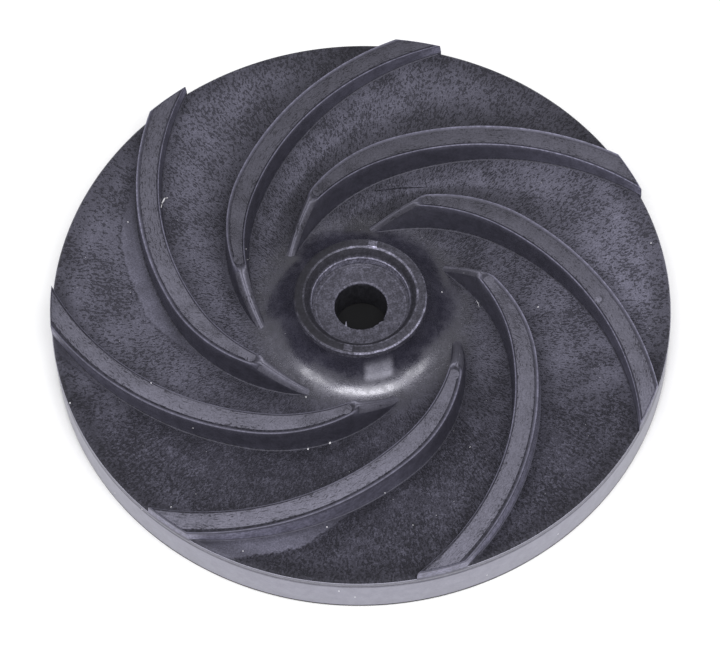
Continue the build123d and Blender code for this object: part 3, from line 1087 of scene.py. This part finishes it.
bm = bmesh.new()
for name in ("along", "across", "shade", "gap", "gapBack"):
    bm.verts.layers.float.new(name)
makePlate(bm)
roughenBore(bm)
plateVerts = bm.verts[:]
measureGaps(bm, plateVerts)
vaneVerts, vaneFaces = makeVane(bm)
copyVanes(bm, vaneVerts, vaneFaces)
addDetails(bm)
openEdges = sum(1 for e in bm.edges if not e.is_manifold)
print("stage: moulding,", len(bm.faces), "faces,", openEdges, "open edges")
moulding = finish(bm, "impellerMoulding", [surfaces[name] for name in slots])
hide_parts("impeller")

# The camera: angles in degrees, distances in millimetres, and the focal length and frame in pixels
view = {"elevation": 60.32, "roll": 2.01, "yaw": -0.028, "pitch": 0.429, "distance": 722.0,
        "aimZ": 11.1, "focalPixels": 3192.2, "frameWidth": 720, "frameHeight": 653}


def makeCamera():
    elevation = radians(view["elevation"])
    back = Vector((0, -cos(elevation), sin(elevation)))
    right = Vector((1, 0, 0))
    roll, pitch, yaw = (Matrix.Rotation(radians(view[name]), 3, axis)
                        for name, axis in (("roll", "Z"), ("pitch", "X"), ("yaw", "Y")))
    facing = roll @ pitch @ yaw @ Matrix((right, back.cross(right), back))
    data = bpy.data.cameras.new("camera")
    data.sensor_width = 36
    data.lens = view["focalPixels"] / view["frameWidth"] * data.sensor_width
    data.clip_start = 0.01
    camera = bpy.data.objects.new("camera", data)
    bpy.context.scene.collection.objects.link(camera)
    place = (back * view["distance"] + Vector((0, 0, view["aimZ"]))) * mm
    camera.matrix_world = Matrix.Translation(place) @ facing.transposed().to_4x4()
    bpy.context.scene.camera = camera
    return camera


camera = makeCamera()
print("stage: camera")


def plainMaterial(name, colour, roughness):
    material = bpy.data.materials.new(name)
    material.use_nodes = True
    shader = material.node_tree.nodes["Principled BSDF"]
    shader.inputs["Base Color"].default_value = linear(colour)
    shader.inputs["Roughness"].default_value = roughness
    return material


dust = {
    # across, down (pixels), radius (mm)
    "specks": [(151, 383, 0.29), (193, 428, 0.18), (308, 449, 0.29), (330, 443, 0.34), (70, 403, 0.21),
               (115, 493, 0.20), (142, 509, 0.20), (171, 507, 0.23), (306, 397, 0.20), (243, 551, 0.18),
               (470, 447, 0.21), (339, 591, 0.33), (355, 597, 0.23), (487, 575, 0.23), (558, 534, 0.20),
               (385, 493, 0.18), (538, 307, 0.23), (512, 309, 0.21), (651, 243, 0.18), (442, 292, 0.21),
               (128, 222, 0.23), (246, 249, 0.21), (326, 182, 0.18), (413, 525, 0.17), (327, 527, 0.21)],
    "fibre": [(161, 208), (162, 204), (164, 200), (165, 198.6), (168, 198.2)],
    "hairs": [[(244, 262), (247, 260), (250, 258.6)], [(476, 300), (478, 303), (479, 307)]],
    "fibreRadius": 0.2, "hairRadius": 0.06,
    "scatter": 70, "scatterReach": 66, "scatterRadius": (0.05, 0.1),
    "seed": 11,
}


# Where the line of sight through a place in the frame meets the moulding
def hitBelow(tree, across, down):
    x = (across - view["frameWidth"] / 2) / view["focalPixels"]
    y = (view["frameHeight"] / 2 - down) / view["focalPixels"]
    sight = (camera.matrix_world.to_3x3() @ Vector((x, y, -1))).normalized()
    return tree.ray_cast(camera.matrix_world.translation, sight)


def addDust():
    body = bmesh.new()
    body.from_mesh(moulding.data)
    tree = BVHTree.FromBMesh(body)
    body.free()
    bm = bmesh.new()
    rng = random.Random(dust["seed"])

    def speck(place, normal, radius):
        place = Vector((place.x, place.y, min(place.z, vaneTopZ * mm - radius * mm)))
        made = bmesh.ops.create_icosphere(bm, subdivisions=1, radius=radius * mm)["verts"]
        turn = normal.to_track_quat("Z", "Y").to_matrix() @ Matrix.Rotation(rng.uniform(0, pi), 3, "Z")
        bmesh.ops.scale(bm, vec=(1, rng.uniform(0.5, 1), 0.5), verts=made)
        bmesh.ops.transform(bm, matrix=Matrix.Translation(place) @ turn.to_4x4(), verts=made)

    for across, down, radius in dust["specks"]:
        place, normal, index, distance = hitBelow(tree, across, down)
        if place:
            speck(place, normal, radius)
    for _ in range(dust["scatter"]):
        spot = polar(dust["scatterReach"] * sqrt(rng.random()), 360 * rng.random()) * mm
        place, normal, index, distance = tree.ray_cast(spot + Vector((0, 0, 0.05)), Vector((0, 0, -1)))
        radius = rng.uniform(*dust["scatterRadius"])
        if place and place.z < (vaneTopZ - 0.2) * mm and place.z > 0.004:
            speck(place, normal, radius)
    threads = [(dust["fibre"], dust["fibreRadius"])]
    threads += [(hair, dust["hairRadius"]) for hair in dust["hairs"]]
    for path, radius in threads:
        path = [hitBelow(tree, *spot)[0] for spot in path]
        path = [Vector((p.x, p.y, min(p.z, (vaneTopZ - 2 * radius) * mm))) for p in path if p]
        thread(bm, path, radius * mm, radius * mm)
    mesh = bpy.data.meshes.new("dust")
    bm.to_mesh(mesh)
    bm.free()
    mesh.polygons.foreach_set("use_smooth", [True] * len(mesh.polygons))
    # lint scatters light, and looks dull and nearly white
    mesh.materials.append(plainMaterial("lint", 0xE6E5EA, 0.9))
    piece = bpy.data.objects.new("dust", mesh)
    bpy.context.scene.collection.objects.link(piece)
    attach(piece, "root")


addDust()
print("stage: dust")


# Metres. The ramp of openness runs from the painted shade of a deep hole to the paper's own colour
floorLook = {"halfWidth": 3, "colour": 0xFFFFFF, "holeColour": 0x07070B, "reach": 0.04,
             "openness": (0.42, 0.5)}


# Matt white paper lies under the part, and deep in a hole it is painted dark: painted shade
def addFloor():
    bm = bmesh.new()
    bmesh.ops.create_grid(bm, x_segments=1, y_segments=1, size=floorLook["halfWidth"])
    mesh = bpy.data.meshes.new("floor")
    bm.to_mesh(mesh)
    bm.free()
    floor = bpy.data.objects.new("floor", mesh)
    material = plainMaterial("whitePaper", floorLook["colour"], 0.9)
    tree = material.node_tree
    openness = addNode(tree, "AmbientOcclusion", named={"Distance": floorLook["reach"]}, out="AO",
                       samples=32)
    openness = addNode(tree, "MapRange", openness, *floorLook["openness"], **eased)
    hole, paper = linear(floorLook["holeColour"]), linear(floorLook["colour"])
    colour = addNode(tree, "Mix", named={0: openness, 6: hole, 7: paper}, data_type="RGBA", out=2)
    tree.links.new(colour, tree.nodes["Principled BSDF"].inputs["Base Color"])
    mesh.materials.append(material)
    bpy.context.scene.collection.objects.link(floor)


addFloor()


# place and size (m) and power (W) of each. They all face the part
lights = {
    "frontSoftbox": ((0.03, -0.34, 0.99), (0.6, 0.4), 5.95),
    "leftSoftbox": ((-0.56, -0.26, 0.8), (0.34, 0.4), 1.6),
    "rightSoftbox": ((0.56, -0.26, 0.8), (0.34, 0.4), 1.6),
}


def addLight(name, place, size, power):
    data = bpy.data.lights.new(name, "AREA")
    data.shape = "RECTANGLE"
    data.size, data.size_y = size
    data.energy = power
    lamp = bpy.data.objects.new(name, data)
    bpy.context.scene.collection.objects.link(lamp)
    turn = (-Vector(place)).to_track_quat("-Z", "Y").to_matrix().to_4x4()
    lamp.matrix_world = Matrix.Translation(place) @ turn


for name, settings in lights.items():
    addLight(name, *settings)


def makeWorld():
    world = bpy.data.worlds.new("studio")
    bpy.context.scene.world = world
    world.use_nodes = True
    tree = world.node_tree
    background = tree.nodes["Background"]
    background.inputs["Color"].default_value = (1, 1, 1, 1)
    # white to the camera, and half as strong as a light
    sight = addNode(tree, "LightPath", out="Is Camera Ray")
    strength = addNode(tree, "MapRange", sight, 0, 1, 0.5, 1.0, **eased)
    tree.links.new(strength, background.inputs["Strength"])


makeWorld()
bpy.context.scene.view_settings.view_transform = "Standard"
print("stage: floor and light")
